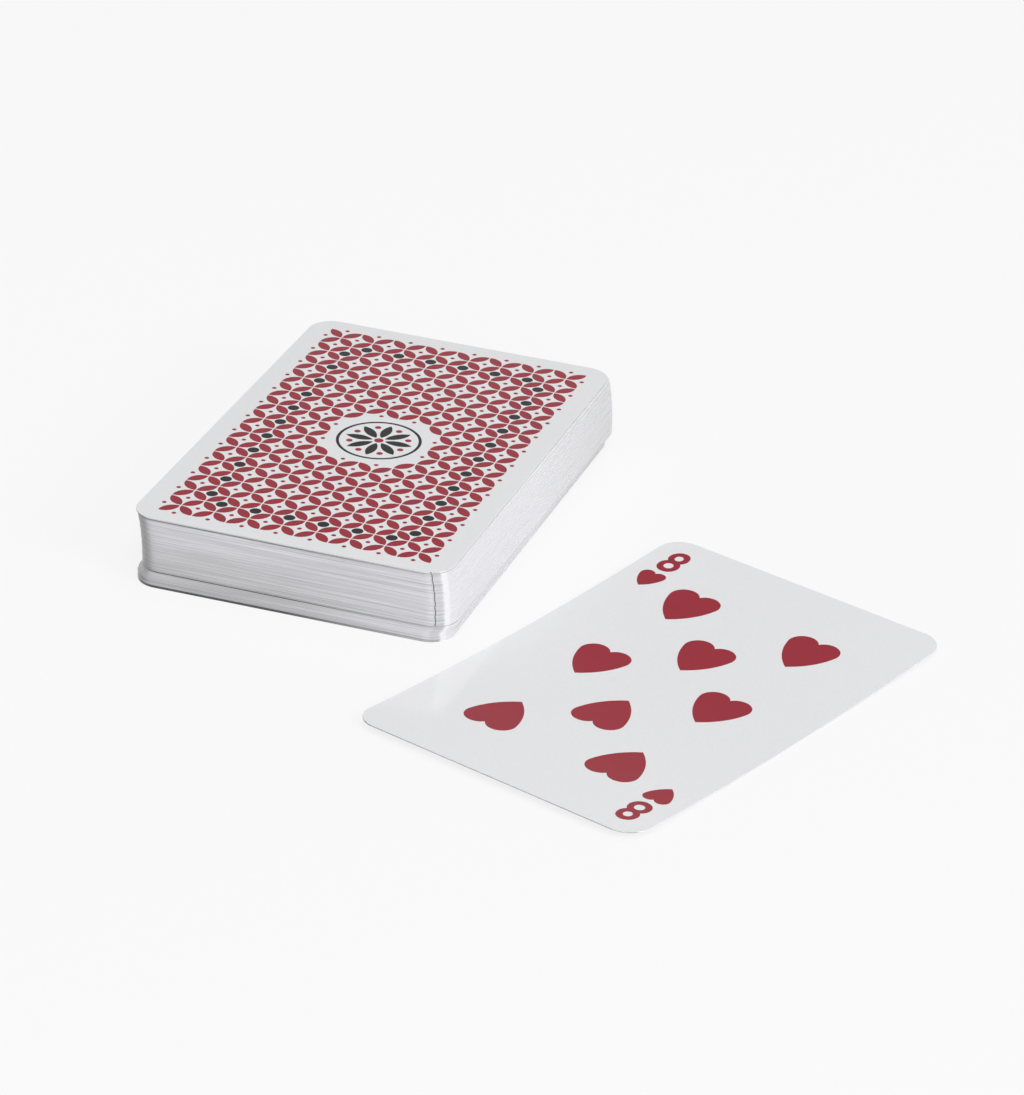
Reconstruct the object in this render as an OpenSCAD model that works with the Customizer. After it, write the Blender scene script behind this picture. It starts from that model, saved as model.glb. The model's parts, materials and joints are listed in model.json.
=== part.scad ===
// A pack of playing cards: a hand-squared stack, face down, and one card dealt face up beside it.
// The origin is the middle of the bottom card's underside, which lies on the table.
// +X runs across the cards, +Y along them to the far end and +Z up through the stack.

/* [Card] */
// Width of a card across its short side
card_w = 58; // [50:0.5:70]
// Length of a card along its long side
card_l = 88; // [80:0.5:100]
// Thickness of one coated card
card_t = 0.24; // [0.2:0.01:0.4]
// Radius of the round corners
corner_r = 4.5; // [2:0.5:8]

/* [Stack] */
// Air left between one card and the next
air_gap = 0.01; // [0.01:0.01:0.1]
// Cards at the foot of the stack, which lie squarely one on another
foot_cards = 5; // [0:1:10]
// Angle in degrees by which the foot is turned against the cards above
foot_turn = 0.4; // [0:0.05:2]
// Cards in the bottom packet, over whose upper part the stack draws in to its waist
packet_cards = 12; // [11:1:25]
// Air left above the bottom packet and under the top card
packet_gap = 0.12; // [0:0.01:0.2]
// How far the waist sits back from the left side of the foot
waist_x = 1; // [0:0.05:2]
// How far the waist sits back from the near side of the foot
waist_y = 0.2; // [0:0.05:2]
// How far the upper cards hang out to the left of the waist
lean_x = 0.9; // [0:0.05:2]
// How far the upper cards hang out to the near side of the waist
lean_y = 0.4; // [0:0.05:2]
// How far the top card has slipped out, both to the left and to the near side
top_slip = 0.15; // [0:0.01:0.5]
// Angle in degrees by which the top card is turned against the cards below
top_turn = 0.2; // [0:0.05:1]
// How far a single card strays from the line of the others
stray = 0.025; // [0:0.005:0.4]
// Angle in degrees by which a single card is turned in the stack
stray_turn = 0.05; // [0:0.01:0.4]

/* [Dealt card] */
// Room between the stack's near right corner and the dealt card's long side
deal_gap = 6; // [2:0.1:30]
// How far the middle of the dealt card lies beyond that corner, along its long side
deal_along = 12.8; // [-30:0.1:60]
// Angle in degrees that the dealt card is turned, clockwise from above
deal_turn = 18.7; // [0:0.1:60]
// How far the short ends of the dealt card stand above its middle
deal_bow = 1.3; // [0.2:0.1:5]

/* [Hidden] */
$fn = 64;

// Names of the cards, from the bottom of the stack to its top, with the dealt card last
SUITS = ["spades", "hearts", "clubs", "diamonds"];
RANKS = [
    "ace", "two", "three", "four", "five", "six", "seven",
    "eight", "nine", "ten", "jack", "queen", "king"
];
JOKERS = ["black_joker", "red_joker"];
DEALT = "eight_of_hearts";
suited = [for (suit = SUITS) for (rank = RANKS) str(rank, "_of_", suit)];
stacked = concat(JOKERS, [for (name = suited) if (name != DEALT) name]);

// The bottom card is level 0
top_level = len(stacked) - 1;
pitch = card_t + air_gap;

// The golden angle spreads the strays of neighbouring cards evenly, and the bottom card has none
golden_angle = 180 * (3 - sqrt(5));
function stray_at(level, turns) = sin(turns * golden_angle * level);

// Rises smoothly from 0 at the foot to 1 at the top of the bottom packet
function ramp(t) = t * t * (3 - 2 * t);
function drawn_in(level) = ramp(min(1, max(0, (level - foot_cards) / (packet_cards - foot_cards))));

// Rises ever faster from 0 at the bottom card to 1 at the top card
function lean_at(level) = pow(level / top_level, 3);

// 1 for the top card, 0 for the others
function slipped(level) = level == top_level ? 1 : 0;

// 1 for the cards above the bottom packet, 2 for the top card, 0 for the others
function gaps_below(level) = (level < packet_cards ? 0 : 1) + slipped(level);

function stack_x(level) =
    waist_x * drawn_in(level) - lean_x * lean_at(level)
    - top_slip * slipped(level) + stray * stray_at(level, 1);
function stack_y(level) =
    waist_y * drawn_in(level) - lean_y * lean_at(level)
    - top_slip * slipped(level) + stray * stray_at(level, 2);
function stack_z(level) = level * pitch + packet_gap * gaps_below(level);
function stack_turn(level) =
    foot_turn * (1 - drawn_in(level)) + top_turn * slipped(level) + stray_turn * stray_at(level, 3);

// The dealt card is set off from the stack's near right corner
near_right = [card_w / 2, -card_l / 2];
dealt_across = [cos(deal_turn), -sin(deal_turn)];
dealt_along = [sin(deal_turn), cos(deal_turn)];
dealt_centre = near_right + dealt_across * (deal_gap + card_w / 2) + dealt_along * deal_along;

// The underside of the dealt card lies on a round of this radius, in steps of about bow_step
bow_radius = (pow(card_l / 2, 2) + pow(deal_bow, 2)) / (2 * deal_bow);
bow_step = 2;
bow_sides = ceil(2 * PI * bow_radius / bow_step);

// The die-cut outline of a card
module card_outline() {
    square([card_w - 2 * corner_r, card_l], center = true);
    square([card_w, card_l - 2 * corner_r], center = true);
    for (side = [-1, 1], end = [-1, 1])
        translate([side * (card_w / 2 - corner_r), end * (card_l / 2 - corner_r)])
            circle(corner_r);
}

// A flat card, lying with its underside at z 0
module flat_card() {
    linear_extrude(card_t) card_outline();
}

// A card bowed along its length, resting on the table along its middle
module bowed_card() {
    intersection() {
        translate([0, 0, -card_t])
            linear_extrude(deal_bow + 3 * card_t) card_outline();
        translate([0, 0, bow_radius])
            rotate([0, 90, 0])
                difference() {
                    cylinder(h = 2 * card_w, r = bow_radius, center = true, $fn = bow_sides);
                    cylinder(h = 3 * card_w, r = bow_radius - card_t, center = true, $fn = bow_sides);
                }
    }
}

// A card at its place in the stack
module stack_card(level) {
    color("whitesmoke")
        translate([stack_x(level), stack_y(level), stack_z(level)])
            rotate(stack_turn(level))
                flat_card();
}

// The card that lies by itself on the table
module dealt_card() {
    color("white")
        translate(dealt_centre)
            rotate(-deal_turn)
                bowed_card();
}

for (level = [0 : top_level])
    stack_card(level);
dealt_card();
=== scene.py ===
"""Dresses a deck of playing cards: a hand-squared stack, face down, and one card dealt face up."""

import json
import logging
import math
from dataclasses import dataclass
from enum import Enum

import bpy
from mathutils import Matrix, Vector
from mathutils.geometry import delaunay_2d_cdt

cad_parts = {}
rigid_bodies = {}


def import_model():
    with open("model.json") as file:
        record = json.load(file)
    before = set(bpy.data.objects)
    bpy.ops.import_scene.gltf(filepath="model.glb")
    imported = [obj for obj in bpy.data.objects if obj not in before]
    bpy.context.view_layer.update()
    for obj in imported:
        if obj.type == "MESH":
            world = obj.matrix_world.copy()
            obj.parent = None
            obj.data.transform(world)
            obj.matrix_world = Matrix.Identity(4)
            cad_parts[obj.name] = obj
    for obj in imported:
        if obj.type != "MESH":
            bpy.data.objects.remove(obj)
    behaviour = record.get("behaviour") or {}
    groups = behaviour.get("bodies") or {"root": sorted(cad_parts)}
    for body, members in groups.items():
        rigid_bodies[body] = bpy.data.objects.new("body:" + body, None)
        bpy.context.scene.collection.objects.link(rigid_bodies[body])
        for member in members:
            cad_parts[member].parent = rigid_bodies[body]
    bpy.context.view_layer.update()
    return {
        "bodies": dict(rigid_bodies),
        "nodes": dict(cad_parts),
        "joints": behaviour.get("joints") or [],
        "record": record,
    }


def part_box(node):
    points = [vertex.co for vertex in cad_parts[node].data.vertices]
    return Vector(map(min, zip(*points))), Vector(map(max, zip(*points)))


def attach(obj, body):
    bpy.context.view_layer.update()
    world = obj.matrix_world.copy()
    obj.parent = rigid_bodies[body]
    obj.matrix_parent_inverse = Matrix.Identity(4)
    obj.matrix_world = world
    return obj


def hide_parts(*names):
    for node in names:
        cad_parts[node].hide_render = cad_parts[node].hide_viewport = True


LOG = logging.getLogger("card_deck")

MM = 0.001
BAKE_MAP = "OFBake"

# A face of a CAD card is part of its cut edge where its normal rises by less than this
WALL_RISE = 0.5

# How the print is cut: into triangles out to the hull, merging points closer than this, in millimetres
CUT_TO_HULL = 0
WELD = 1e-5

Point = tuple[float, float]
Outline = list[Point]
Triple = tuple[float, float, float]
Colour = tuple[float, float, float]
Socket = bpy.types.NodeSocket


class Ink(Enum):
    """What shows at the surface of a card. The value is the material slot."""

    STOCK = 0
    RED = 1
    CHARCOAL = 2
    EDGE = 3
    # The walls of the nick, in a dark grey of painted shade
    NICK = 4

    @property
    def on_wall(self) -> bool:
        """Whether it shows on the cut edge."""
        return self in (Ink.EDGE, Ink.NICK)


class Suit(Enum):
    """The four suits and the jokers, with the ink each is printed in."""

    SPADES = ("spades", Ink.CHARCOAL)
    HEARTS = ("hearts", Ink.RED)
    CLUBS = ("clubs", Ink.CHARCOAL)
    DIAMONDS = ("diamonds", Ink.RED)
    RED_JOKER = ("red_joker", Ink.RED)
    BLACK_JOKER = ("black_joker", Ink.CHARCOAL)

    @property
    def ink(self) -> Ink:
        """The ink that this suit is printed in."""
        return self.value[1]


@dataclass(frozen=True)
class Shape:
    """A flat printed area, in millimetres on the card."""

    outline: tuple[Point, ...]
    ink: Ink

    def placed(self, x: float, y: float, size: float = 1.0, turn: float = 0.0) -> "Shape":
        """Puts a copy of this shape somewhere on the card.

        Args:
            x: Where its middle goes, across the card.
            y: Where its middle goes, along the card.
            size: How many times larger the copy is.
            turn: How far the copy is turned, in degrees.

        Returns:
            The copy.
        """
        c = math.cos(math.radians(turn)) * size
        s = math.sin(math.radians(turn)) * size
        moved = tuple((x + c * px - s * py, y + s * px + c * py) for px, py in self.outline)
        return Shape(moved, self.ink)


def arc(centre: Point, radius: float, start: float, end: float, steps: int) -> Outline:
    """Points along a circular arc from a start to an end, in degrees, both ends among them."""
    angles = [math.radians(start + (end - start) * i / steps) for i in range(steps + 1)]
    return [(centre[0] + radius * math.cos(a), centre[1] + radius * math.sin(a)) for a in angles]


def disc(radius: float, steps: int, centre: Point = (0.0, 0.0)) -> Outline:
    """A full circle as a closed outline."""
    return arc(centre, radius, 0.0, 360.0, steps)[:-1]


def petal(length: float, width: float, steps: int) -> Outline:
    """A pointed petal along X, between two equal arcs.

    Args:
        length: From tip to tip.
        width: Across the middle.
        steps: Straight steps on each side.

    Returns:
        The closed outline, centred on the origin.
    """
    half = length / 2
    rise = width / 2
    radius = (half * half + rise * rise) / (2 * rise)
    spread = math.degrees(math.asin(half / radius))
    upper = arc((0.0, rise - radius), radius, 90 - spread, 90 + spread, steps)
    lower = arc((0.0, radius - rise), radius, 270 - spread, 270 + spread, steps)
    return upper[:-1] + lower[:-1]


def rectangle(width: float, height: float) -> Outline:
    """A rectangle centred on the origin."""
    corners = ((-1, -1), (1, -1), (1, 1), (-1, 1))
    return [(x * width / 2, y * height / 2) for x, y in corners]


def heart_outline(
    steps: int = 10, lobe: float = 0.245, offset: float = 0.205, swing: float = 12.0
) -> Outline:
    """A plain heart one unit high, point down: two round lobes, and an arc from each to the tip.

    Args:
        steps: Straight steps on each side. A lobe has twice as many.
        lobe: Radius of a lobe.
        offset: How far the middle of a lobe lies from the middle of the heart.
        swing: How far below its middle, in degrees, a lobe passes into the side.

    Returns:
        The closed outline, counter-clockwise from the tip.
    """
    middle = Vector((offset, 0.5 - lobe))
    tip = Vector((0.0, -0.5))
    way = Vector((math.cos(math.radians(swing)), -math.sin(math.radians(swing))))
    reach = tip - middle
    along = reach.dot(way)
    radius = (reach.dot(reach) + lobe * lobe - 2 * lobe * along) / (2 * (lobe - along))
    centre = middle - way * (radius - lobe)
    from_centre = tip - centre
    low = math.degrees(math.atan2(from_centre.y, from_centre.x))
    cleft = math.degrees(math.atan2(math.sqrt(lobe * lobe - offset * offset), -offset))
    side = arc((centre.x, centre.y), radius, low, -swing, steps)
    top = arc((middle.x, middle.y), lobe, -swing, cleft, 2 * steps)
    right = side + top[1:]
    left = [(-x, y) for x, y in right[-2:0:-1]]
    return right + left


def diamond_outline(steps: int = 32, half_width: float = 0.39, hollow: float = 0.88) -> Outline:
    """A lozenge one unit high, with sides a little hollow.

    Args:
        steps: Points on the outline, a multiple of four.
        half_width: From the middle to a side corner.
        hollow: 1 for straight sides, less for hollow ones.

    Returns:
        The closed outline.
    """
    points = []
    for i in range(steps):
        a = 2 * math.pi * i / steps
        c = math.cos(a)
        s = math.sin(a)
        x = math.copysign(abs(c) ** (2 / hollow), c) * half_width
        y = math.copysign(abs(s) ** (2 / hollow), s) * 0.5
        points.append((x, y))
    return points


def stem_outline(top: float, foot: float, foot_half: float, waist_half: float) -> Outline:
    """The flared stem under a spade or a club.

    Args:
        top: Height of the stem's top.
        foot: Height of its foot.
        foot_half: Half of the foot's width.
        waist_half: Half of the width at the top.

    Returns:
        The closed outline.
    """
    steps = 6
    flare = 3
    right = []
    for i in range(steps + 1):
        t = i / steps
        right.append((waist_half + (foot_half - waist_half) * t**flare, top + (foot - top) * t))
    left = [(-x, y) for x, y in right]
    return left + right[::-1]


def spade_outlines() -> list[Outline]:
    """A spade one unit high.

    Returns:
        The closed outlines of its leaf and its stem.
    """
    leaf_height = 0.86
    leaf = [(-x * leaf_height, 0.5 - leaf_height / 2 - y * leaf_height) for x, y in heart_outline()]
    return [leaf, stem_outline(top=-0.1, foot=-0.5, foot_half=0.24, waist_half=0.03)]


def club_outlines() -> list[Outline]:
    """A club one unit high.

    Returns:
        The closed outlines of its three leaves, of the middle between them and of its stem.
    """
    leaf_places = [(0.0, 0.25), (-0.265, -0.12), (0.265, -0.12)]
    leaves = [disc(radius=0.25, steps=28, centre=place) for place in leaf_places]
    middle = disc(radius=0.13, steps=12)
    stem = stem_outline(top=0.1, foot=-0.5, foot_half=0.24, waist_half=0.04)
    return leaves + [middle, stem]


def star_outline(points: int = 5, inner: float = 0.4) -> Outline:
    """A plain star one unit high.

    Args:
        points: How many points it has.
        inner: Radius of the inner corners against that of the points.

    Returns:
        The closed outline.
    """
    corners = []
    for i in range(2 * points):
        angle = math.pi / 2 + math.pi * i / points
        radius = 0.5 if i % 2 == 0 else 0.5 * inner
        corners.append((radius * math.cos(angle), radius * math.sin(angle)))
    return corners


def pip_outlines(suit: Suit) -> list[Outline]:
    """One pip of a suit, one unit high.

    Args:
        suit: The suit. A joker has a star.

    Returns:
        The closed outlines that make it up.
    """
    if suit is Suit.HEARTS:
        return [heart_outline()]
    if suit is Suit.DIAMONDS:
        return [diamond_outline()]
    if suit is Suit.SPADES:
        return spade_outlines()
    if suit is Suit.CLUBS:
        return club_outlines()
    return [star_outline()]


def counter_clockwise(loop: Outline) -> Outline:
    """The same loop, turned round where it runs clockwise."""
    doubled = sum(ax * by - bx * ay for (ax, ay), (bx, by) in zip(loop, loop[1:] + loop[:1]))
    return loop if doubled > 0 else loop[::-1]


class NumeralPress:
    """Turns index numerals into outlines, with Blender's own plain font."""

    def __init__(self, boldness: float = 0.018, curve_steps: int = 5) -> None:
        """Sets up the press.

        Args:
            boldness: How much the strokes are thickened, against a letter size of 1.
            curve_steps: Straight steps in each piece of a letter's curves.
        """
        self.boldness = boldness
        self.curve_steps = curve_steps
        self.cut: dict[str, list[Outline]] = {}

    def outlines(self, text: str) -> list[Outline]:
        """Outlines of a numeral, one unit high and centred.

        Args:
            text: The numeral or index letter.

        Returns:
            Closed loops. A loop within another is a hole in it.
        """
        if text not in self.cut:
            self.cut[text] = self._centred(self._loops(text))
        return self.cut[text]

    def _loops(self, text: str) -> list[Outline]:
        """Cuts a text out of the font.

        Args:
            text: The numeral or index letter.

        Returns:
            The boundary loops of its filled mesh.
        """
        curve = bpy.data.curves.new("numeral", "FONT")
        curve.body = text
        curve.offset = self.boldness
        curve.resolution_u = self.curve_steps
        carrier = bpy.data.objects.new("numeral", curve)
        mesh = bpy.data.meshes.new_from_object(carrier)
        uses: dict[tuple[int, int], int] = {}
        for polygon in mesh.polygons:
            for a, b in polygon.edge_keys:
                uses[(a, b)] = uses.get((a, b), 0) + 1
        ways: dict[int, list[int]] = {}
        for (a, b), count in uses.items():
            if count == 1:
                ways.setdefault(a, []).append(b)
                ways.setdefault(b, []).append(a)
        places = [(v.co.x, v.co.y) for v in mesh.vertices]
        loops = self._walk(ways, places)
        bpy.data.objects.remove(carrier)
        bpy.data.curves.remove(curve)
        bpy.data.meshes.remove(mesh)
        return loops

    @staticmethod
    def _walk(ways: dict[int, list[int]], places: list[Point]) -> list[Outline]:
        """Strings boundary points together into closed loops.

        Args:
            ways: For each boundary vertex, its neighbours on the boundary.
            places: Where each vertex is.

        Returns:
            The loops.
        """
        loops = []
        left = set(ways)
        while left:
            first = min(left)
            loop = [first]
            left.discard(first)
            onward = [n for n in ways[first] if n in left]
            while onward:
                loop.append(onward[0])
                left.discard(onward[0])
                onward = [n for n in ways[loop[-1]] if n in left]
            loops.append(counter_clockwise([places[i] for i in loop]))
        return sorted(loops, key=lambda loop: -NumeralPress._span(loop))

    @staticmethod
    def _span(loop: Outline) -> float:
        """The room that a loop takes, by which outer loops come before their holes.

        Args:
            loop: The loop.

        Returns:
            The area of its box.
        """
        xs = [x for x, _ in loop]
        ys = [y for _, y in loop]
        return (max(xs) - min(xs)) * (max(ys) - min(ys))

    @staticmethod
    def _centred(loops: list[Outline]) -> list[Outline]:
        """Scales loops to one unit high, about their common middle.

        Args:
            loops: The loops of one text.

        Returns:
            The scaled loops.
        """
        xs = [x for loop in loops for x, _ in loop]
        ys = [y for loop in loops for _, y in loop]
        height = max(ys) - min(ys)
        cx = (max(xs) + min(xs)) / 2
        cy = (max(ys) + min(ys)) / 2
        return [[((x - cx) / height, (y - cy) / height) for x, y in loop] for loop in loops]


def inside(point: Point, loop: Outline) -> bool:
    """Whether a point lies within a closed loop.

    Args:
        point: The point.
        loop: The loop.

    Returns:
        True where a line from the point to the right meets the loop an odd number of times.
    """
    x, y = point
    hits = 0
    for (ax, ay), (bx, by) in zip(loop, loop[1:] + loop[:1]):
        if (ay > y) != (by > y) and x < ax + (bx - ax) * (y - ay) / (by - ay):
            hits += 1
    return hits % 2 == 1


def turn_of(card: bpy.types.Object) -> float:
    """How far a card of the frame is turned on the table, in radians.

    Args:
        card: The CAD node's object.

    Returns:
        The turn. The directions of the walls are doubled and summed, so that opposite walls add up, the
        long sides outweigh the short ones and the round corners cancel out.
    """
    walls = [p for p in card.data.polygons if abs(p.normal.z) < WALL_RISE]
    doubled = sum(p.area * complex(p.normal.x, p.normal.y) ** 2 for p in walls)
    return math.atan2(doubled.imag, doubled.real) / 2


@dataclass
class CardFormat:
    """The die-cut blank that every card is printed on, in millimetres."""

    width: float
    length: float
    thickness: float
    corner_radius: float = 4.5
    corner_steps: int = 16
    side_steps: int = 22
    edge_round: float = 0.009
    edge_hold: float = 0.006
    nick_swing: float = 22.0
    nick_depth: float = 0.2
    nick_width: float = 0.24

    @classmethod
    def measured(cls, card: bpy.types.Object) -> "CardFormat":
        """The format of a card in the frame.

        Args:
            card: The CAD node's object.

        Returns:
            Its size along its own axes, however it is turned on the table.
        """
        upright = Matrix.Rotation(-turn_of(card), 3, "Z")
        corners = [upright @ v.co for v in card.data.vertices]
        spans = [max(c[axis] for c in corners) - min(c[axis] for c in corners) for axis in range(3)]
        return cls(*(span / MM for span in spans))

    def outline(self, inset: float) -> Outline:
        """The card's outline, with a small nick in one corner where two cuts of the die met.

        Args:
            inset: How far inside the full outline it runs.

        Returns:
            The closed outline, counter-clockwise from the corner with the nick.
        """
        r = self.corner_radius - inset
        x = self.width / 2 - self.corner_radius
        y = self.length / 2 - self.corner_radius
        half_nick = math.degrees(self.nick_width / self.corner_radius) / 2
        nick = 270.0 - self.nick_swing
        points = arc((-x, -y), r, 180.0, nick - half_nick, self.corner_steps)
        points.append(arc((-x, -y), r - self.nick_depth, nick, nick, 1)[0])
        points += arc((-x, -y), r, nick + half_nick, 270.0, self.corner_steps)
        rise = [y * (2 * step / self.side_steps - 1) for step in range(1, self.side_steps)]
        points += arc((x, -y), r, -90.0, 0.0, self.corner_steps)
        points += [(x + r, height) for height in rise]
        points += arc((x, y), r, 0.0, 90.0, self.corner_steps)
        points += arc((-x, y), r, 90.0, 180.0, self.corner_steps)
        points += [(-x - r, height) for height in reversed(rise)]
        return points

    def bends(self) -> list[tuple[int, int]]:
        """Finds where the card can bend across.

        Returns:
            The pairs of outline points that lie across from each other on the two long sides.
        """
        points = self.outline(0.0)
        straight = self.length / 2 - self.corner_radius - self.edge_round
        on_sides = [i for i, (_, y) in enumerate(points) if abs(y) < straight]
        on_sides.sort(key=lambda i: points[i][1])
        left = [i for i in on_sides if points[i][0] < 0]
        right = [i for i in on_sides if points[i][0] > 0]
        return list(zip(left, right))


@dataclass
class BackDesign:
    """The print on every back: a trellis of red petals, a beaded frame and a centre rosette."""

    columns: int = 8
    rows: int = 13
    pitch: float = 6.25
    petal_share: float = 0.93
    petal_width: float = 1.95
    petal_steps: int = 6
    dot_radius: float = 0.42
    bead_radius: float = 1.05
    bead_inset: int = 1
    rosette_petals: int = 8
    rosette_radius: float = 7.6
    rosette_ring: float = 0.55
    rosette_room: float = 0.9
    rosette_leaf: float = 0.72
    rosette_leaf_width: float = 0.36
    rosette_leaf_foot: float = 0.16
    rosette_bud: float = 1.4
    rosette_bud_place: float = 0.74
    rosette_heart: float = 0.12

    def shapes(self) -> list[Shape]:
        """Everything printed on the back, in the order it is laid down."""
        return self._trellis() + self._dots() + self._rosette()

    def _at(self, column: float, row: float) -> Point:
        """The place of a trellis crossing."""
        return ((column - self.columns / 2) * self.pitch, (row - self.rows / 2) * self.pitch)

    def _covered(self, place: Point, reach: float) -> bool:
        """Whether the centre rosette takes a place."""
        return math.hypot(*place) < self.rosette_radius + self.rosette_room + reach

    def _trellis(self) -> list[Shape]:
        """Fills the back with a trellis.

        Returns:
            Four petals in each cell, from its middle to its corners.
        """
        length = self.pitch * math.sqrt(0.5)
        leaf = Shape(tuple(petal(length * self.petal_share, self.petal_width, self.petal_steps)), Ink.RED)
        quarter = 0.25
        shapes = []
        for column in range(self.columns):
            for row in range(self.rows):
                for sx, sy in ((1, 1), (-1, 1), (-1, -1), (1, -1)):
                    place = self._at(column + 0.5 + sx * quarter, row + 0.5 + sy * quarter)
                    if not self._covered(place, length / 2):
                        shapes.append(leaf.placed(*place, turn=45.0 * sx * sy))
        return shapes

    def _dots(self) -> list[Shape]:
        """Fills the gaps of the trellis.

        Returns:
            A red dot in each gap, or a larger charcoal bead where the gap lies on the frame.
        """
        dot = Shape(tuple(disc(self.dot_radius, steps=10)), Ink.RED)
        bead = Shape(tuple(disc(self.bead_radius, steps=14)), Ink.CHARCOAL)
        shapes = []
        for column in range(2 * self.columns + 1):
            for row in range(2 * self.rows + 1):
                place = self._at(column / 2, row / 2)
                if (column + row) % 2 == 0 or self._covered(place, self.bead_radius):
                    continue
                shapes.append((bead if self._on_frame(column, row) else dot).placed(*place))
        return shapes

    def _on_frame(self, column: int, row: int) -> bool:
        """Whether a gap of the trellis lies on the beaded frame.

        Args:
            column: Its column, in half cells.
            row: Its row, in half cells.

        Returns:
            True on the frame.
        """
        low = 2 * self.bead_inset
        right = 2 * self.columns - low
        top = 2 * self.rows - low
        within = low <= column <= right and low <= row <= top
        return within and (column in (low, right) or row in (low, top))

    def _rosette(self) -> list[Shape]:
        """Draws the rosette in the middle of the card.

        Returns:
            A ring, a flower within it, a bud between each two petals and the flower's heart.
        """
        outer = self.rosette_radius
        inner = outer - self.rosette_ring
        shapes = [
            Shape(tuple(disc(outer, steps=64)), Ink.CHARCOAL),
            Shape(tuple(disc(inner, steps=64)), Ink.STOCK),
        ]
        length = inner * self.rosette_leaf
        leaf = Shape(tuple(petal(length, length * self.rosette_leaf_width, steps=10)), Ink.CHARCOAL)
        bud = Shape(tuple(disc(self.dot_radius * self.rosette_bud, steps=14)), Ink.RED)
        reach = inner * self.rosette_leaf_foot + length / 2
        bud_share = self.rosette_bud_place
        turn = 360.0 / self.rosette_petals
        for i in range(self.rosette_petals):
            angle = math.radians(turn * i)
            shapes.append(leaf.placed(math.cos(angle) * reach, math.sin(angle) * reach, turn=turn * i))
            between = math.radians(turn * (i + 0.5))
            bud_x = math.cos(between) * inner * bud_share
            bud_y = math.sin(between) * inner * bud_share
            shapes.append(bud.placed(bud_x, bud_y))
        shapes.append(Shape(tuple(disc(inner * self.rosette_heart, steps=20)), Ink.RED))
        return shapes


LOW_RANKS = ("ace", "two", "three", "four", "five", "six", "seven", "eight", "nine", "ten")
RANK_NAMES = LOW_RANKS + ("jack", "queen", "king")
RANK_INDEX = ("A", "2", "3", "4", "5", "6", "7", "8", "9", "10", "J", "Q", "K")


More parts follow.
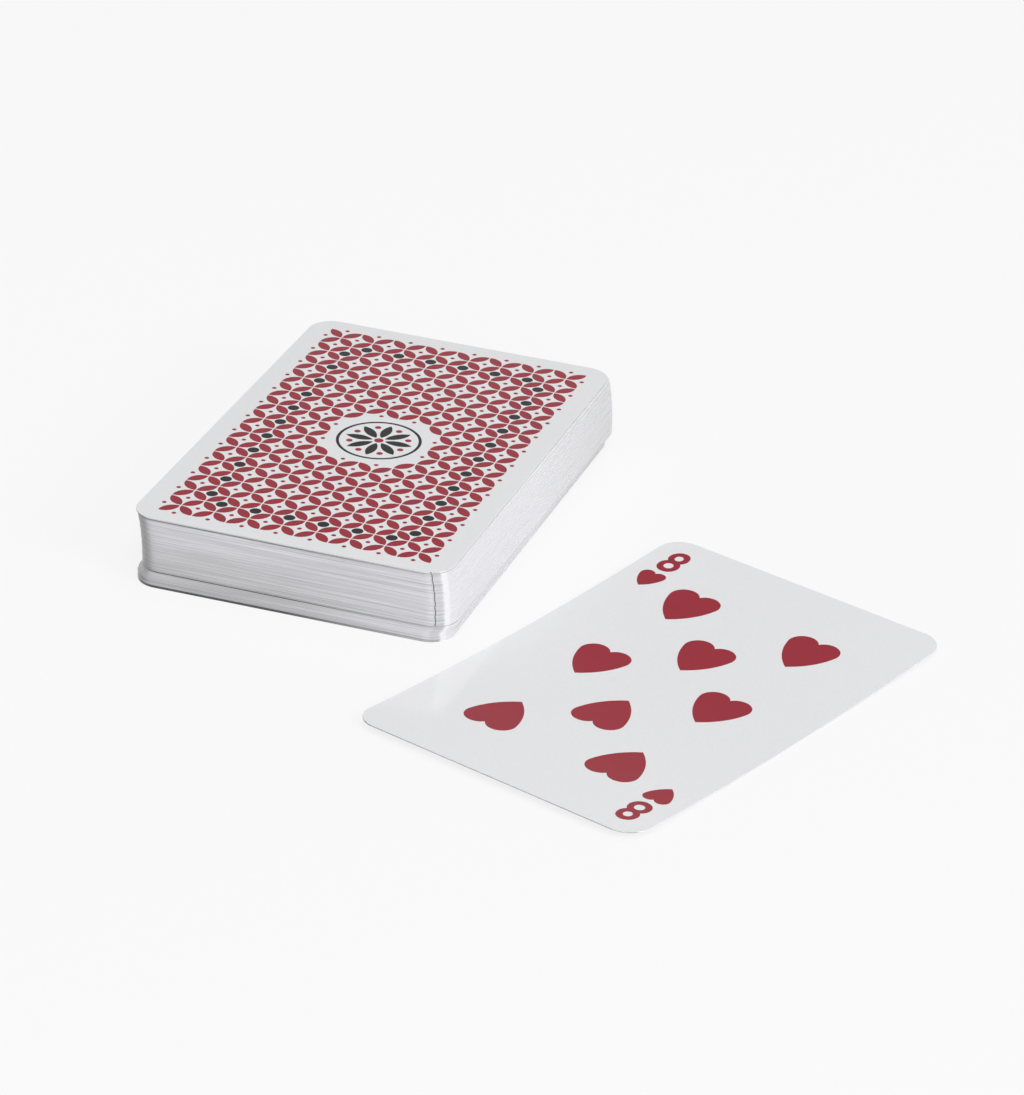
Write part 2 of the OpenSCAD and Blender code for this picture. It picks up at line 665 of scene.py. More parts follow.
@dataclass
class FaceDesign:
    """The print on one face: an index in two corners and pips in the usual order."""

    rank: int
    suit: Suit
    press: NumeralPress
    index_x: float = 23.6
    index_y: float = 36.6
    numeral_height: float = 7.4
    numeral_squeeze: float = 0.86
    numeral_width: float = 6.2
    small_pip: float = 5.6
    small_pip_drop: float = 7.4
    pip_height: float = 11.0
    column_x: float = 12.6
    row_step: float = 8.4
    ace_height: float = 24.0
    frame_width: float = 38.0
    frame_length: float = 66.0
    frame_line: float = 0.5
    lozenge: float = 6.4
    lozenges_across: int = 7
    lozenge_step: Point = (0.8, 1.02)
    court_pip_share: float = 0.72
    court_pip_inset: float = 2.0

    def shapes(self) -> list[Shape]:
        """Draws the whole face.

        Returns:
            Everything printed on it, in the order it is laid down.
        """
        if self.suit in (Suit.RED_JOKER, Suit.BLACK_JOKER):
            return self._index_stars() + self._pip(0.0, 0.0, 2 * self.pip_height)
        if self.rank == 1:
            return self._indices() + self._pip(0.0, 0.0, self.ace_height)
        if self.rank <= len(LOW_RANKS):
            return self._indices() + self._pips()
        return self._court() + self._indices()

    def _pip(self, x: float, y: float, height: float, upright: bool = True) -> list[Shape]:
        """One pip of the suit.

        Args:
            x: Where it goes across the card.
            y: Where it goes along the card.
            height: How high it is.
            upright: False to turn it upside down.

        Returns:
            The shapes that make it up.
        """
        turn = 0.0 if upright else 180.0
        parts = [Shape(tuple(outline), self.suit.ink) for outline in pip_outlines(self.suit)]
        return [part.placed(x, y, height, turn) for part in parts]

    def _places(self) -> list[Point]:
        """Where the pips of a number card go.

        Returns:
            Their places, those of the two outer columns first.
        """
        sides = (-1, 1)
        middle = {2: (3, -3), 3: (3, 0, -3), 5: (0,), 7: (1.5,), 8: (1.5, -1.5), 9: (0,), 10: (2, -2)}
        rows = {4: (3, -3), 5: (3, -3), 6: (3, 0, -3), 7: (3, 0, -3), 8: (3, 0, -3)}
        rows[9] = rows[10] = (3, 1, -1, -3)
        places = [(side, row) for row in rows.get(self.rank, ()) for side in sides]
        places += [(0, row) for row in middle.get(self.rank, ())]
        return [(side * self.column_x, row * self.row_step) for side, row in places]

    def _pips(self) -> list[Shape]:
        """The pips of a number card.

        Returns:
            Their shapes, with the lower ones upside down.
        """
        shapes = []
        for x, y in self._places():
            shapes += self._pip(x, y, self.pip_height, upright=y >= 0)
        return shapes

    def _numeral(self, x: float, y: float, turn: float) -> list[Shape]:
        """The index numeral at one corner, with its holes left bare.

        Args:
            x: Where its middle goes across the card.
            y: Where its middle goes along the card.
            turn: How far it is turned, in degrees.

        Returns:
            Its shapes, slimmed where it would be wider than its room.
        """
        loops = self.press.outlines(RANK_INDEX[self.rank - 1])
        full_width = 2 * max(px for loop in loops for px, _ in loop) * self.numeral_height
        slim = min(self.numeral_squeeze, self.numeral_width / full_width)
        shapes = []
        for i, loop in enumerate(loops):
            depth = sum(inside(loop[0], other) for other in loops[:i])
            ink = self.suit.ink if depth % 2 == 0 else Ink.STOCK
            narrowed = tuple((px * slim, py) for px, py in loop)
            shapes.append(Shape(narrowed, ink).placed(x, y, self.numeral_height, turn))
        return shapes

    def _indices(self) -> list[Shape]:
        """The index in two opposite corners.

        Returns:
            The shapes of a numeral and a small pip in each.
        """
        shapes = []
        for way, turn in ((1, 0.0), (-1, 180.0)):
            x = -way * self.index_x
            y = way * self.index_y
            shapes += self._numeral(x, y, turn)
            shapes += self._pip(x, y - way * self.small_pip_drop, self.small_pip, way > 0)
        return shapes

    def _index_stars(self) -> list[Shape]:
        """The index of a joker in two opposite corners.

        Returns:
            The shapes of a small star in each.
        """
        shapes = []
        for way in (1, -1):
            shapes += self._pip(-way * self.index_x, way * self.index_y, self.small_pip, way > 0)
        return shapes

    def _court(self) -> list[Shape]:
        """The panel of a court card.

        Returns:
            A frame, a belt of lozenges with one row more for each higher court, and two large pips.
        """
        line = self.frame_line
        shapes = [
            Shape(tuple(rectangle(self.frame_width, self.frame_length)), Ink.CHARCOAL),
            Shape(tuple(rectangle(self.frame_width - 2 * line, self.frame_length - 2 * line)), Ink.STOCK),
        ]
        belt_rows = self.rank - len(LOW_RANKS)
        for row in range(belt_rows):
            for column in range(self.lozenges_across):
                ink = Ink.RED if (row + column) % 2 == 0 else Ink.CHARCOAL
                x = (column - (self.lozenges_across - 1) / 2) * self.lozenge * self.lozenge_step[0]
                y = (row - (belt_rows - 1) / 2) * self.lozenge * self.lozenge_step[1]
                shapes.append(Shape(tuple(diamond_outline()), ink).placed(x, y, self.lozenge))
        reach = (self.frame_length - self.ace_height) / 2 - self.court_pip_inset
        for way in (1, -1):
            shapes += self._pip(0.0, way * reach, self.ace_height * self.court_pip_share, way > 0)
        return shapes


@dataclass
class PrintedSide:
    """One side of a card, cut into flat triangles along the edges of its print."""

    points: list[Point]
    triangles: list[tuple[int, int, int]]
    inks: list[Ink]
    rim: list[int]

    @classmethod
    def cut(cls, rim: Outline, shapes: list[Shape], bends: list[tuple[int, int]]) -> "PrintedSide":
        """Cuts a side along its print.

        Args:
            rim: The outline of the flat side.
            shapes: The print, in the order it is laid down.
            bends: Pairs of points of the rim, between which the side is also cut so that it can bend.

        Returns:
            The cut side.
        """
        outlines = [Shape(tuple(rim), Ink.STOCK)] + shapes
        corners: list[Vector] = []
        loops: list[list[int]] = []
        for shape in outlines:
            loops.append(list(range(len(corners), len(corners) + len(shape.outline))))
            corners.extend(Vector(p) for p in shape.outline)
        cut = delaunay_2d_cdt(corners, bends, loops, CUT_TO_HULL, WELD, True)
        places, _, faces, from_corners, _, from_loops = cut
        kept = {corner: i for i, group in enumerate(from_corners) for corner in group}
        on_card = [(tuple(face), max(group)) for face, group in zip(faces, from_loops) if group]
        return cls(
            points=[(p.x, p.y) for p in places],
            triangles=[face for face, _ in on_card],
            inks=[outlines[last].ink for _, last in on_card],
            rim=[kept[i] for i in range(len(rim))],
        )


@dataclass
class CardMaker:
    """Builds the mesh of a card from its two printed sides, flat or with its ends bowed up."""

    blank: CardFormat
    finishes: list[bpy.types.Material]
    bow: float = 0.0

    def __post_init__(self) -> None:
        """Prints the back, which is the same on every card."""
        self.back = self._print(BackDesign().shapes())

    def _print(self, shapes: list[Shape]) -> PrintedSide:
        """Cuts a side along its print, and across where the card is bowed."""
        rim = self.blank.outline(self.blank.edge_round)
        return PrintedSide.cut(rim, shapes, self.blank.bends() if self.bow else [])

    def build(self, name: str, design: FaceDesign) -> bpy.types.Object:
        """Makes one card, face up, with the middle of its underside at the origin.

        Args:
            name: The piece's name.
            design: What is printed on its face.

        Returns:
            The card, in millimetres.
        """
        self.places: list[Triple] = []
        self.loops: list[tuple[int, ...]] = []
        self.slots: list[int] = []
        self.maps: list[list[Point]] = []
        face = self._print(design.shapes())
        top = self.blank.thickness
        rounding = self.blank.edge_round
        held = rounding + self.blank.edge_hold
        rings = [self._side(self.back, 0.0, faces_up=False)]
        for height in (rounding, held, top - held, top - rounding):
            rings.append(self._ring(height))
        rings.append(self._side(face, top, faces_up=True))
        for strip, (below, above) in enumerate(zip(rings, rings[1:])):
            self._wall(below, above, strip)
        card = self._object(name)
        if self.bow:
            self._bow(card.data, rings[0], rings[-1])
        return card

    def _bow(self, mesh: bpy.types.Mesh, under_rim: list[int], upper_rim: list[int]) -> None:
        """Bends a card up towards its short ends, shaded as a smooth sheet between sharp rims.

        Args:
            mesh: The flat card.
            under_rim: The points round its underside.
            upper_rim: The points round its upper side.
        """
        steepness = self.bow / (self.blank.length / 2) ** 2
        for vertex in mesh.vertices:
            vertex.co.z += steepness * vertex.co.y ** 2
        rims = set()
        for rim in (under_rim, upper_rim):
            rims |= {frozenset(pair) for pair in zip(rim, rim[1:] + rim[:1])}
        for edge in mesh.edges:
            edge.use_edge_sharp = frozenset(edge.vertices) in rims
        normals = [Vector((0.0, 0.0, 0.0)) for _ in mesh.loops]
        for polygon in mesh.polygons:
            polygon.use_smooth = True
            if Ink(polygon.material_index).on_wall:
                continue
            way = math.copysign(1.0, polygon.normal.z)
            for corner in polygon.loop_indices:
                slope = 2 * steepness * mesh.vertices[mesh.loops[corner].vertex_index].co.y
                normals[corner] = Vector((0.0, -slope, 1.0)).normalized() * way
        mesh.normals_split_custom_set(normals)

    def _ring(self, height: float) -> list[int]:
        """Adds a ring of points round the card's full outline.

        Args:
            height: Where it lies.

        Returns:
            The numbers of the points.
        """
        first = len(self.places)
        self.places.extend((x, y, height) for x, y in self.blank.outline(0.0))
        return list(range(first, len(self.places)))

    def _side(self, side: PrintedSide, height: float, faces_up: bool) -> list[int]:
        """Adds a printed side.

        Args:
            side: The cut side, as it is seen by someone who looks at it.
            height: Where it lies.
            faces_up: False for the underside, which is mirrored.

        Returns:
            The numbers of the points along its rim, counter-clockwise from above.
        """
        first = len(self.places)
        self.places.extend((x, y, height) for x, y in side.points)
        half = 0.5
        left = half if faces_up else 0.0
        for triangle, ink in zip(side.triangles, side.inks):
            turned = triangle if faces_up else triangle[::-1]
            self.loops.append(tuple(first + i for i in turned))
            self.slots.append(ink.value)
            self.maps.append([self._on_map(side.points[i], left) for i in turned])
        return [first + i for i in side.rim]

    def _on_map(self, point: Point, left: float) -> Point:
        """Where a point of a side goes on the card's map, which has the two sides next to each other.

        Args:
            point: The point, in millimetres on the card.
            left: Where the side's half of the map starts.

        Returns:
            Its place on the map.
        """
        room = 0.46
        margin = 0.02
        low = 0.1
        u = left + margin + room * (point[0] / self.blank.width + 0.5)
        v = low + (1 - low - margin) * (point[1] / self.blank.length + 0.5)
        return (u, v)

    def _wall(self, below: list[int], above: list[int], strip: int) -> None:
        """Adds a strip of the cut edge between two rings.

        Args:
            below: The lower ring.
            above: The upper ring.
            strip: Which strip it is, from the bottom up.
        """
        count = len(below)
        foot = 0.01
        height = 0.016
        low = foot + strip * height
        nick = (self.blank.corner_steps, self.blank.corner_steps + 1)
        for i in range(count):
            j = (i + 1) % count
            self.loops.append((below[i], below[j], above[j], above[i]))
            # The nick's two strips take the painted-shade finish
            self.slots.append((Ink.NICK if i in nick else Ink.EDGE).value)
            left = i / count
            right = (i + 1) / count
            self.maps.append([(left, low), (right, low), (right, low + height), (left, low + height)])

    def _object(self, name: str) -> bpy.types.Object:
        """Turns what was added into an object.

        Args:
            name: The piece's name.

        Returns:
            The object, with its finishes and its map.
        """
        mesh = bpy.data.meshes.new(name)
        mesh.from_pydata(self.places, [], self.loops)
        mesh.polygons.foreach_set("material_index", self.slots)
        mesh.polygons.foreach_set("use_smooth", [Ink(slot).on_wall for slot in self.slots])
        layer = mesh.uv_layers.new(name=BAKE_MAP)
        layer.data.foreach_set("uv", [c for corners in self.maps for uv in corners for c in uv])
        for finish in self.finishes:
            mesh.materials.append(finish)
        mesh.update()
        card = bpy.data.objects.new(name, mesh)
        bpy.context.scene.collection.objects.link(card)
        return card


@dataclass
class CardDeck:
    """The whole deck: every card that the frame holds, printed and put in its place."""

    frame: dict
    blank: CardFormat
    finishes: list[bpy.types.Material]
    # The cut-edge finish with painted shade, for a few cards
    painted_shade_edge: bpy.types.Material
    dealt: str = "eight_of_hearts"
    slot: str = "coated_card"
    packet_cards: int = 12

    def build(self) -> list[bpy.types.Object]:
        """Prints every card and puts it in its node's place: the dealt card, then the stack from its top.

        Returns:
            The cards.
        """
        low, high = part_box(self.dealt)
        bow = (high.z - low.z) / MM - self.blank.thickness
        flat_maker = CardMaker(self.blank, self.finishes)
        bowed_maker = CardMaker(self.blank, self.finishes, bow)
        press = NumeralPress()
        stacked = [node for node in self.frame["nodes"] if node != self.dealt]
        stacked.sort(key=lambda node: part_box(node)[0].z, reverse=True)
        upper_cards = len(stacked) - self.packet_cards
        # Counted from the top card as 1, the cards whose cut edges get painted shade: the second, under
        # the top card; the first of the bottom packet, along the gap above it; and the lowest two, at the
        # foot of the stack
        painted_shade_cards = (2, upper_cards + 1, len(stacked) - 1, len(stacked))
        cards = []
        for number, node in enumerate([self.dealt] + stacked):
            rank, suit = self._reading(node)
            maker = bowed_maker if node == self.dealt else flat_maker
            card = maker.build("printed_" + node, FaceDesign(rank, suit, press))
            # Painted shade on this card's cut edge
            if number in painted_shade_cards:
                card.data.materials[Ink.EDGE.value] = self.painted_shade_edge
            card.data.transform(self._place(node, end_for_end=number > upper_cards))
            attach(card, node)
            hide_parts(node)
            cards.append(card)
        return cards

    @staticmethod
    def _reading(node: str) -> tuple[int, Suit]:
        """Reads a card from its node's name.

        Args:
            node: The CAD node.

        Returns:
            The rank, from 1 for the ace, or 0 for a joker, and the suit.
        """
        if node.endswith("joker"):
            return 0, Suit[node.upper()]
        rank, suit = node.split("_of_")
        return RANK_NAMES.index(rank) + 1, Suit[suit.upper()]

    def _place(self, node: str, end_for_end: bool) -> Matrix:
        """How a card goes from the maker's bench to its node's place, in metres.

        Args:
            node: The CAD node.
            end_for_end: True to turn the card by half a turn, which gives it the same outline.

        Returns:
            The matrix, which also turns a stacked card face down.
        """
        low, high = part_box(node)
        turn = turn_of(self.frame["nodes"][node]) + (math.pi if end_for_end else 0.0)
        middle = (low + high) / 2
        turned = Matrix.Rotation(turn, 4, "Z") @ Matrix.Scale(MM, 4)
        if node == self.dealt:
            return Matrix.Translation((middle.x, middle.y, low.z)) @ turned
        face_down = Matrix.Rotation(math.pi, 4, "Y")
        return Matrix.Translation((middle.x, middle.y, high.z)) @ turned @ face_down


class NodeBench:
    """The node tree of a material or of the world, with short calls to add and join nodes."""

    # Where nearly all of a noise lies
    NOISE_SPAN: Point = (0.3, 0.7)
    # Where a long side passes into a short end, by the square of how far it faces along the card
    END_SPAN: Point = (0.4, 0.6)

    def __init__(self, owner: bpy.types.Material | bpy.types.World, output: str) -> None:
        """Empties a node tree and gives it an output node.

        Args:
            owner: The material or the world whose tree it is.
            output: Blender's name for the output node.
        """
        owner.use_nodes = True
        self.owner = owner
        self.tree = owner.node_tree
        self.tree.nodes.clear()
        self.output = self.add(output)

    @classmethod
    def for_material(cls, name: str) -> "NodeBench":
        """A bench with a new material on it."""
        return cls(bpy.data.materials.new(name), "ShaderNodeOutputMaterial")

    @classmethod
    def for_world(cls, name: str) -> "NodeBench":
        """A bench with a new world on it."""
        return cls(bpy.data.worlds.new(name), "ShaderNodeOutputWorld")

    def add(self, kind: str, **settings: object) -> bpy.types.Node:
        """Adds a node.

        Args:
            kind: Blender's name for it.
            settings: Properties to set on it.

        Returns:
            The node.
        """
        node = self.tree.nodes.new(kind)
        for name, value in settings.items():
            setattr(node, name, value)
        return node

    def join(self, source: Socket | float | Triple, target: Socket) -> None:
        """Links one socket to another, or gives it a fixed value.

        Args:
            source: The socket that it takes its value from, or the value.
            target: The socket that is given it.
        """
        if isinstance(source, Socket):
            self.tree.links.new(source, target)
        else:
            target.default_value = source

    def surface(self, settings: dict[str, Socket | float]) -> bpy.types.Material:
        """Puts a shader on the material's output.

        Args:
            settings: What its sockets are given, by their names.

        Returns:
            The finished material.
        """
        shader = self.add("ShaderNodeBsdfPrincipled")
        for name, value in settings.items():
            self.join(value, shader.inputs[name])
        self.join(shader.outputs["BSDF"], self.output.inputs["Surface"])
        return self.owner

    def coordinate(self, kind: str, axis: str) -> Socket:
        """One axis of a texture coordinate.

        Args:
            kind: Blender's name for the coordinate.
            axis: X, Y or Z.

        Returns:
            The value socket.
        """
        parts = self.add("ShaderNodeSeparateXYZ")
        self.join(self.add("ShaderNodeTexCoord").outputs[kind], parts.inputs["Vector"])
        return parts.outputs[axis]

    def reckon(self, operation: str, first: Socket, second: Socket | float) -> Socket:
        """A number worked out from two others.

        Args:
            operation: Blender's name for what is done.
            first: The first number.
            second: The second number.

        Returns:
            The value socket.
        """
        node = self.add("ShaderNodeMath", operation=operation)
        self.join(first, node.inputs[0])
        self.join(second, node.inputs[1])
        return node.outputs["Value"]

    def ranged(self, value: Socket, source: Point, target: Point = (0.0, 1.0)) -> Socket:
        """A number taken from one range to another, and held within it.

        Args:
            value: The number.
            source: Where its range starts and ends.
            target: What the start and the end become.

        Returns:
            The value socket.
        """
        node = self.add("ShaderNodeMapRange")
        names = ("From Min", "From Max", "To Min", "To Max")
        for name, limit in zip(names, source + target):
            node.inputs[name].default_value = limit
        self.join(value, node.inputs["Value"])
        return node.outputs["Result"]

    def noise(self, scale: float, detail: float, stretch: Triple = (1.0, 1.0, 1.0)) -> Socket:
        """Noise over the card's own coordinates.

        Args:
            scale: Features to a metre.
            detail: Octaves.
            stretch: How much finer it is along each axis.

        Returns:
            The value socket.
        """
        coordinates = self.add("ShaderNodeTexCoord")
        mapping = self.add("ShaderNodeMapping")
        mapping.inputs["Scale"].default_value = stretch
        texture = self.add("ShaderNodeTexNoise")
        texture.inputs["Scale"].default_value = scale
        texture.inputs["Detail"].default_value = detail
        self.join(coordinates.outputs["Object"], mapping.inputs["Vector"])
        self.join(mapping.outputs["Vector"], texture.inputs["Vector"])
        return texture.outputs["Fac"]

    def facing_end(self) -> Socket:
        """A number from 0 on a card's long sides to 1 on its short ends."""
        squared = self.reckon("POWER", self.coordinate("Normal", "Y"), 2.0)
        return self.ranged(squared, self.END_SPAN)

    def between(self, noise: Socket, low: Colour, high: Colour) -> Socket:
        """A colour that runs from low to high with a noise.

        Args:
            noise: Where to take it from.
            low: The colour where the noise is small.
            high: The colour where it is large.

        Returns:
            The colour socket.
        """
        ramp = self.add("ShaderNodeValToRGB")
        for stop, position, colour in zip(ramp.color_ramp.elements, self.NOISE_SPAN, (low, high)):
            stop.position = position
            stop.color = (*colour, 1.0)
        self.join(noise, ramp.inputs["Fac"])
        return ramp.outputs["Color"]

    def span(self, noise: Socket, limits: Point) -> Socket:
        """A number that runs between two limits with a noise."""
        return self.ranged(noise, self.NOISE_SPAN, limits)

    def along(self, axis: str, places: Point, amounts: Point) -> Socket:
        """A number that runs from one amount to another between two places on an axis, in metres."""
        return self.ranged(self.coordinate("Object", axis), places, amounts)

    def blended(self, first: Socket, second: Socket | Colour, amount: Socket) -> Socket:
        """A colour that passes into another, or has it laid over it.

        Args:
            first: The first colour, or the one underneath.
            second: The second colour, or the one on top.
            amount: How much of the second shows, from 0 to 1.

        Returns:
            The colour socket.
        """
        mix = self.add("ShaderNodeMix", data_type="RGBA")
        self.join(amount, mix.inputs["Factor"])
        self.join(first, mix.inputs["A"])
        self.join(second if isinstance(second, Socket) else (*second, 1.0), mix.inputs["B"])
        return mix.outputs["Result"]

    def bump(self, height: Socket, distance: float, strength: float = 1.0) -> Socket:
        """A normal bent by a height.

        Args:
            height: The height, from 0 to 1.
            distance: How far 1 stands out, in metres.
            strength: How much of it to use.

        Returns:
            The normal socket.
        """
        node = self.add("ShaderNodeBump")
        node.inputs["Distance"].default_value = distance
        node.inputs["Strength"].default_value = strength
        self.join(height, node.inputs["Height"])
        return node.outputs["Normal"]


@dataclass(frozen=True)
class VarnishedPrint:
    """Paper or ink under a gloss varnish."""

    name: str
    low: Colour
    high: Colour
    roughness: Point = (0.42, 0.52)
    mottle: float = 2200.0
    mottle_detail: float = 4.0
    fibre: Triple = (1.0, 0.4, 1.0)
    specular: float = 0.1
    coat: float = 1.0
    coat_roughness: float = 0.06
    coat_ior: float = 1.5
    ripple: float = 420.0
    ripple_detail: float = 2.0
    ripple_height: float = 0.0000008

    def make(self) -> bpy.types.Material:
        """Makes the finish.

        Returns:
            The material, with the same ripples in the varnish as in the print beneath.
        """
        bench = NodeBench.for_material(self.name)
        fibres = bench.noise(self.mottle, self.mottle_detail, self.fibre)
        waves = bench.noise(self.ripple, self.ripple_detail)
        normal = bench.bump(waves, self.ripple_height)
        return bench.surface(
            {
                "Base Color": bench.between(fibres, self.low, self.high),
                "Roughness": bench.span(fibres, self.roughness),
                "Normal": normal,
                "Coat Normal": normal,
                "Specular IOR Level": self.specular,
                "Coat Weight": self.coat,
                "Coat Roughness": self.coat_roughness,
                "Coat IOR": self.coat_ior,
            }
        )


@dataclass(frozen=True)
class PaintedCornerLight:
    """A part of a round corner, picked by the way its wall faces, with painted light laid on it: a
    painted highlight where its colour is light, painted shade where it is dark.
    """

    azimuth: float
    reach: float
    colour: Colour
    strength: float

    def over(self, bench: NodeBench, clean: Socket) -> Socket:
        """Lays the painted light over a colour.

        Args:
            bench: Where the material is made.
            clean: The colour of the paper elsewhere.

        Returns:
            The colour with the painted light.
        """
        turn = math.radians(self.azimuth)
        facing = bench.add("ShaderNodeVectorMath", operation="DOT_PRODUCT")
        bench.join(bench.add("ShaderNodeTexCoord").outputs["Normal"], facing.inputs[0])
        bench.join((math.cos(turn), math.sin(turn), 0.0), facing.inputs[1])
        edge = math.cos(math.radians(self.reach))
        full = math.cos(math.radians(self.reach / 2))
        amount = bench.ranged(facing.outputs["Value"], (edge, full), (0.0, self.strength))
        return bench.blended(clean, self.colour, amount)


@dataclass(frozen=True)
class CutPaper:
    """The die-cut edge: burnished paper plies between two coats, cut rougher across the short ends, with
    painted shade and a painted highlight laid over their colour.
    """

    name: str = "cut_edge"
    low: Colour = (0.71, 0.708, 0.742)
    high: Colour = (0.745, 0.743, 0.775)
    end_low: Colour = (0.54, 0.54, 0.57)
    end_high: Colour = (0.825, 0.823, 0.855)
    # Painted shade: a grey laid over the cut edge towards the foot of the stack, more on the left of the
    # short ends, and towards the far end of the long sides
    painted_shade_colour: Colour = (0.05, 0.05, 0.05)
    painted_shade: float = 0.0
    foot_shade: float = 0.36
    soil_top: float = 0.0125
    shade_right: float = 0.026
    right_share: float = 0.04
    # Painted shade that darkens the long sides towards their far end
    far_shade: float = 0.2
    far_end: float = 0.044
    streak: float = 40.0
    streak_detail: float = 3.0
    streak_height: float = 0.0000006
    streak_strength: float = 0.5
    plies: Triple = (1.0, 1.0, 105.0)
    roughness: Point = (0.26, 0.36)
    # Painted light on the round corners, by the way their walls face
    painted_corner_light: tuple[PaintedCornerLight, ...] = (
        # Painted shade on the corner walls that face left and to the front
        PaintedCornerLight(azimuth=-140.0, reach=38.0, colour=(0.2, 0.2, 0.2), strength=0.6),
        # Painted shade in a narrow strip of the right front corner, beside the nick
        PaintedCornerLight(azimuth=-60.0, reach=14.0, colour=(0.2, 0.2, 0.21), strength=0.25),
        # Painted highlight on the right front corner
        PaintedCornerLight(azimuth=-40.0, reach=9.0, colour=(0.84, 0.84, 0.87), strength=0.9),
    )

    @classmethod
    def plain(cls, name: str, colour: Colour) -> "CutPaper":
        """Cut paper of one colour, with no streaks in it."""
        return cls(name, low=colour, high=colour, end_low=colour, end_high=colour)

    def make(self) -> bpy.types.Material:
        """Makes the finish.

        Returns:
            The material, whose streaks show in its colour, its gloss and its relief.
        """
        bench = NodeBench.for_material(self.name)
        plies = bench.noise(self.streak, self.streak_detail, self.plies)
        sides = self._far_shaded_sides(bench, bench.between(plies, self.low, self.high))
        ends = self._shaded_ends(bench, bench.between(plies, self.end_low, self.end_high))
        colour = bench.blended(sides, ends, bench.facing_end())
        # Painted highlight and painted shade on the round corners
        for painted_corner_light in self.painted_corner_light:
            colour = painted_corner_light.over(bench, colour)
        return bench.surface(
            {
                "Base Color": colour,
                "Roughness": bench.span(plies, self.roughness),
                "Normal": bench.bump(plies, self.streak_height, self.streak_strength),
            }
        )

    def _far_shaded_sides(self, bench: NodeBench, clean: Socket) -> Socket:
        """The long sides' colour, with painted shade that grows from their middle to the far end."""
        amount = bench.along("Y", (0.0, self.far_end), (0.0, self.far_shade))
        return bench.blended(clean, self.painted_shade_colour, amount)

    def _shaded_ends(self, bench: NodeBench, clean: Socket) -> Socket:
        """The short ends' colour, with painted shade that grows to the foot of the stack and fades to the
        right.

        Args:
            bench: Where the material is made.
            clean: The colour without the painted shade.

        Returns:
            The colour with the painted shade.
        """
        depth = bench.along("Z", (self.soil_top, 0.0), (self.painted_shade, self.painted_shade + self.foot_shade))
        share = bench.along("X", (0.0, self.shade_right), (1.0, self.right_share))
        return bench.blended(clean, self.painted_shade_colour, bench.reckon("MULTIPLY", depth, share))


def grey(level: float) -> tuple[float, float, float, float]:
    """An opaque grey."""
    return (level, level, level, 1.0)


@dataclass(frozen=True)
class SoftLamp:
    """A square soft lamp, placed by its direction from the cards."""

    name: str
    azimuth: float
    elevation: float
    distance: float
    size: float
    watts: float

    def hang(self, look_at: Vector) -> None:
        """Hangs the lamp so that it faces the cards.

        Args:
            look_at: The point that it faces, from which its distance is measured.
        """
        turn = math.radians(self.azimuth)
        tilt = math.radians(self.elevation)
        way = Vector((math.cos(turn) * math.cos(tilt), math.sin(turn) * math.cos(tilt), math.sin(tilt)))
        light = bpy.data.lights.new(self.name, "AREA")
        light.shape = "SQUARE"
        light.size = self.size
        light.energy = self.watts
        lamp = bpy.data.objects.new(self.name, light)
        lamp.location = look_at + way * self.distance
        lamp.rotation_euler = (-way).to_track_quat("-Z", "Y").to_euler()
        bpy.context.scene.collection.objects.link(lamp)


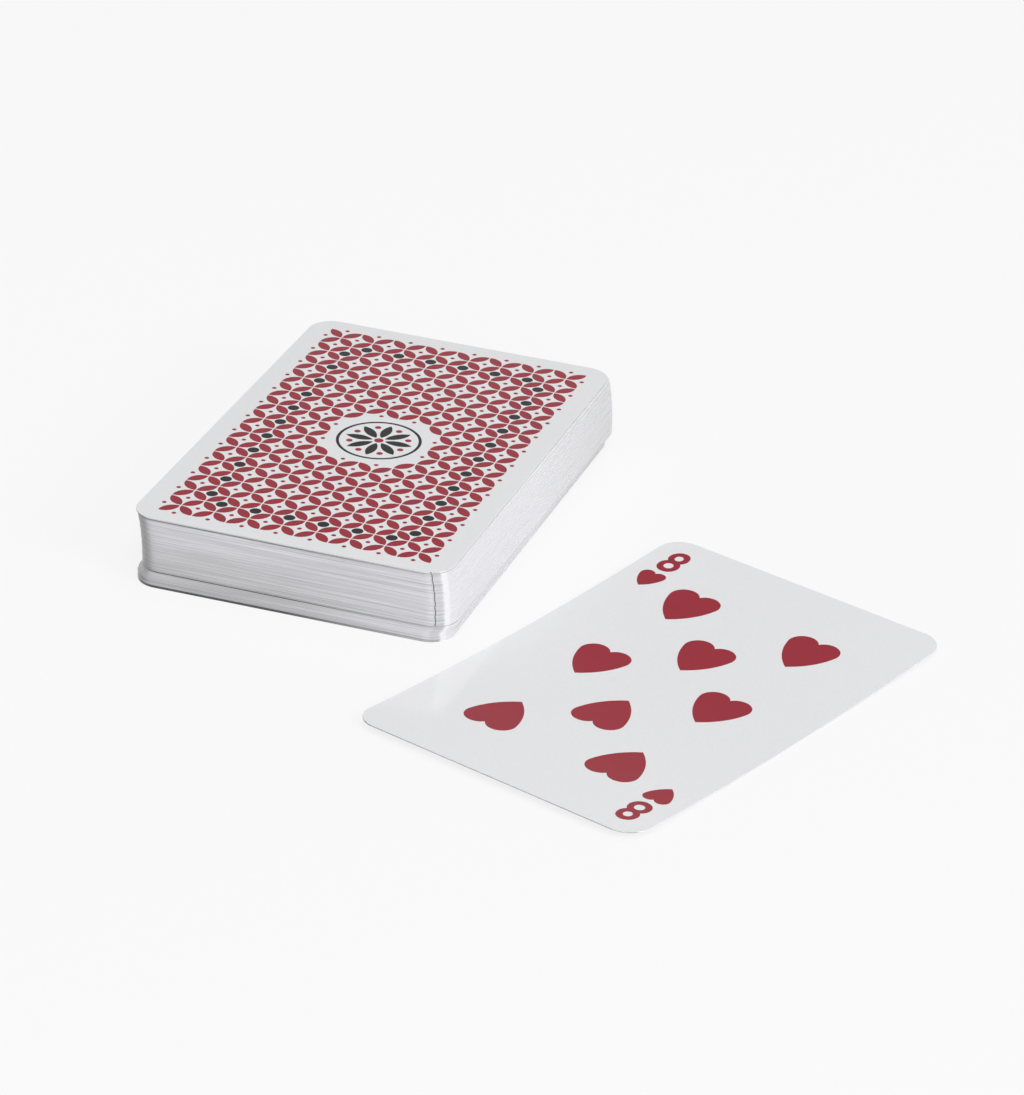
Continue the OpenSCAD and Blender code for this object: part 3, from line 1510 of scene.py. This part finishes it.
@dataclass
class Studio:
    """A pale floor, soft light and the camera."""

    floor_colour: float = 0.7
    floor_glow: float = 1.0
    glow_share: float = 0.82
    floor_size: float = 60.0
    floor_drop: float = 0.00002
    horizon: tuple[Point, Point] = ((10.0, 0.66), (12.0, 0.6))
    sky: tuple[Point, ...] = ((18.0, 0.6), (29.0, 0.1), (46.0, 0.1), (58.0, 1.0))
    sky_strength: float = 1.36
    left_span: Point = (-0.8, -0.1)
    left_share: float = 0.2
    lamps: tuple[SoftLamp, ...] = (
        SoftLamp("key", azimuth=-22.0, elevation=28.0, distance=2.0, size=0.75, watts=15.5),
        SoftLamp("fill", azimuth=-66.0, elevation=50.0, distance=2.0, size=0.8, watts=11.5),
    )
    look_at: Triple = (0.02711, -0.00486, 0.0)
    azimuth: float = 18.87
    elevation: float = 27.11
    distance: float = 0.8776
    roll: float = 2.32
    focal_pixels: float = 5000.0
    picture_height: float = 1095.0
    sensor: float = 36.0

    def build(self) -> None:
        """Puts up the floor, the lights and the camera."""
        self._floor()
        self._sky()
        for lamp in self.lamps:
            lamp.hang(Vector(self.look_at))
        self._camera()

    def _floor(self) -> None:
        """A wide plain floor, just under the lowest cards, of an even tone with a faint shadow."""
        square = rectangle(self.floor_size, self.floor_size)
        mesh = bpy.data.meshes.new("floor")
        mesh.from_pydata([(x, y, -self.floor_drop) for x, y in square], [], [(0, 1, 2, 3)])
        floor = bpy.data.objects.new("floor", mesh)
        bpy.context.scene.collection.objects.link(floor)
        mesh.materials.append(self._floor_paper())

    def _floor_paper(self) -> bpy.types.Material:
        """Makes the floor's matt paper.

        Returns:
            The material, which also glows to the eye and in mirrors, but gives the cards no more light.
        """
        bench = NodeBench.for_material("floor_paper")
        paper = bench.add("ShaderNodeBsdfDiffuse")
        paper.inputs["Color"].default_value = grey(self.floor_colour)
        glow = bench.add("ShaderNodeEmission")
        glow.inputs["Color"].default_value = grey(self.floor_glow)
        path = bench.add("ShaderNodeLightPath")
        seen = path.outputs["Is Camera Ray"]
        for ray in ("Is Glossy Ray", "Is Transmission Ray"):
            seen = bench.reckon("MAXIMUM", seen, path.outputs[ray])
        mix = bench.add("ShaderNodeMixShader")
        bench.join(bench.reckon("MULTIPLY", seen, self.glow_share), mix.inputs["Fac"])
        bench.join(paper.outputs["BSDF"], mix.inputs[1])
        bench.join(glow.outputs["Emission"], mix.inputs[2])
        bench.join(mix.outputs["Shader"], bench.output.inputs["Surface"])
        return bench.owner

    def _sky(self) -> None:
        """Light from all round: a white horizon, a dim band and a bright ceiling, dimmer on the left."""
        bench = NodeBench.for_world("studio")
        bpy.context.scene.world = bench.owner
        height = bench.coordinate("Generated", "Z")
        ramp = bench.add("ShaderNodeValToRGB")
        levels = self.horizon + self.sky
        stops = ramp.color_ramp.elements
        while len(stops) < len(levels):
            stops.new(1.0)
        for stop, (angle, level) in zip(stops, levels):
            stop.position = math.sin(math.radians(angle))
            stop.color = grey(level)
        left = bench.ranged(bench.coordinate("Generated", "X"), self.left_span, (self.left_share, 1.0))
        low = bench.ranged(height, (stops[1].position, stops[0].position))
        share = bench.reckon("MAXIMUM", left, low)
        light = bench.add("ShaderNodeBackground")
        bench.join(height, ramp.inputs["Fac"])
        bench.join(ramp.outputs["Color"], light.inputs["Color"])
        bench.join(bench.reckon("MULTIPLY", share, self.sky_strength), light.inputs["Strength"])
        bench.join(light.outputs["Background"], bench.output.inputs["Surface"])

    def _camera(self) -> None:
        """Puts the camera where the photograph was taken from."""
        turn = math.radians(self.azimuth)
        tilt = math.radians(self.elevation)
        roll = math.radians(self.roll)
        right = Vector((math.cos(turn), math.sin(turn), 0.0))
        level = math.cos(tilt)
        forward = Vector((-math.sin(turn) * level, math.cos(turn) * level, -math.sin(tilt)))
        up = right.cross(forward)
        rolled_right = right * math.cos(roll) + up * math.sin(roll)
        rolled_up = up * math.cos(roll) - right * math.sin(roll)
        lens = bpy.data.cameras.new("camera")
        lens.sensor_width = self.sensor
        lens.lens = self.focal_pixels / self.picture_height * self.sensor
        camera = bpy.data.objects.new("camera", lens)
        axes = Matrix((rolled_right, rolled_up, -forward)).transposed()
        place = Vector(self.look_at) - forward * self.distance
        camera.matrix_world = Matrix.Translation(place) @ axes.to_4x4()
        bpy.context.scene.collection.objects.link(camera)
        bpy.context.scene.camera = camera


def finishes() -> list[bpy.types.Material]:
    """Makes the card's finishes.

    Returns:
        The materials, in the order of the Ink slots.
    """
    return [
        VarnishedPrint("varnished_stock", (0.795, 0.797, 0.81), (0.815, 0.817, 0.828)).make(),
        VarnishedPrint("red_ink", (0.31, 0.02, 0.035), (0.335, 0.024, 0.04)).make(),
        VarnishedPrint("charcoal_ink", (0.015, 0.015, 0.016), (0.02, 0.02, 0.021)).make(),
        CutPaper().make(),
        # Painted shade in the nick: the recess's walls in a dark grey
        CutPaper.plain("soiled_nick", (0.2, 0.2, 0.205)).make(),
    ]


def main() -> None:
    """Loads the frame, prints the cards and sets up the studio."""
    logging.basicConfig(level=logging.INFO)
    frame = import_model()
    bpy.context.scene.view_settings.view_transform = "Standard"
    blank = CardFormat.measured(frame["nodes"]["black_joker"])
    # A cut edge darkened all over with painted shade, darkest low down and on the left
    painted_shade_edge = CutPaper("painted_shade_edge", painted_shade=0.6, right_share=0.35).make()
    cards = CardDeck(frame, blank, finishes(), painted_shade_edge).build()
    for card in cards:
        LOG.info("%s: %d faces", card.name, len(card.data.polygons))
    Studio().build()
    LOG.info("studio: floor, lamps and camera")


if __name__ == "__main__":
    main()
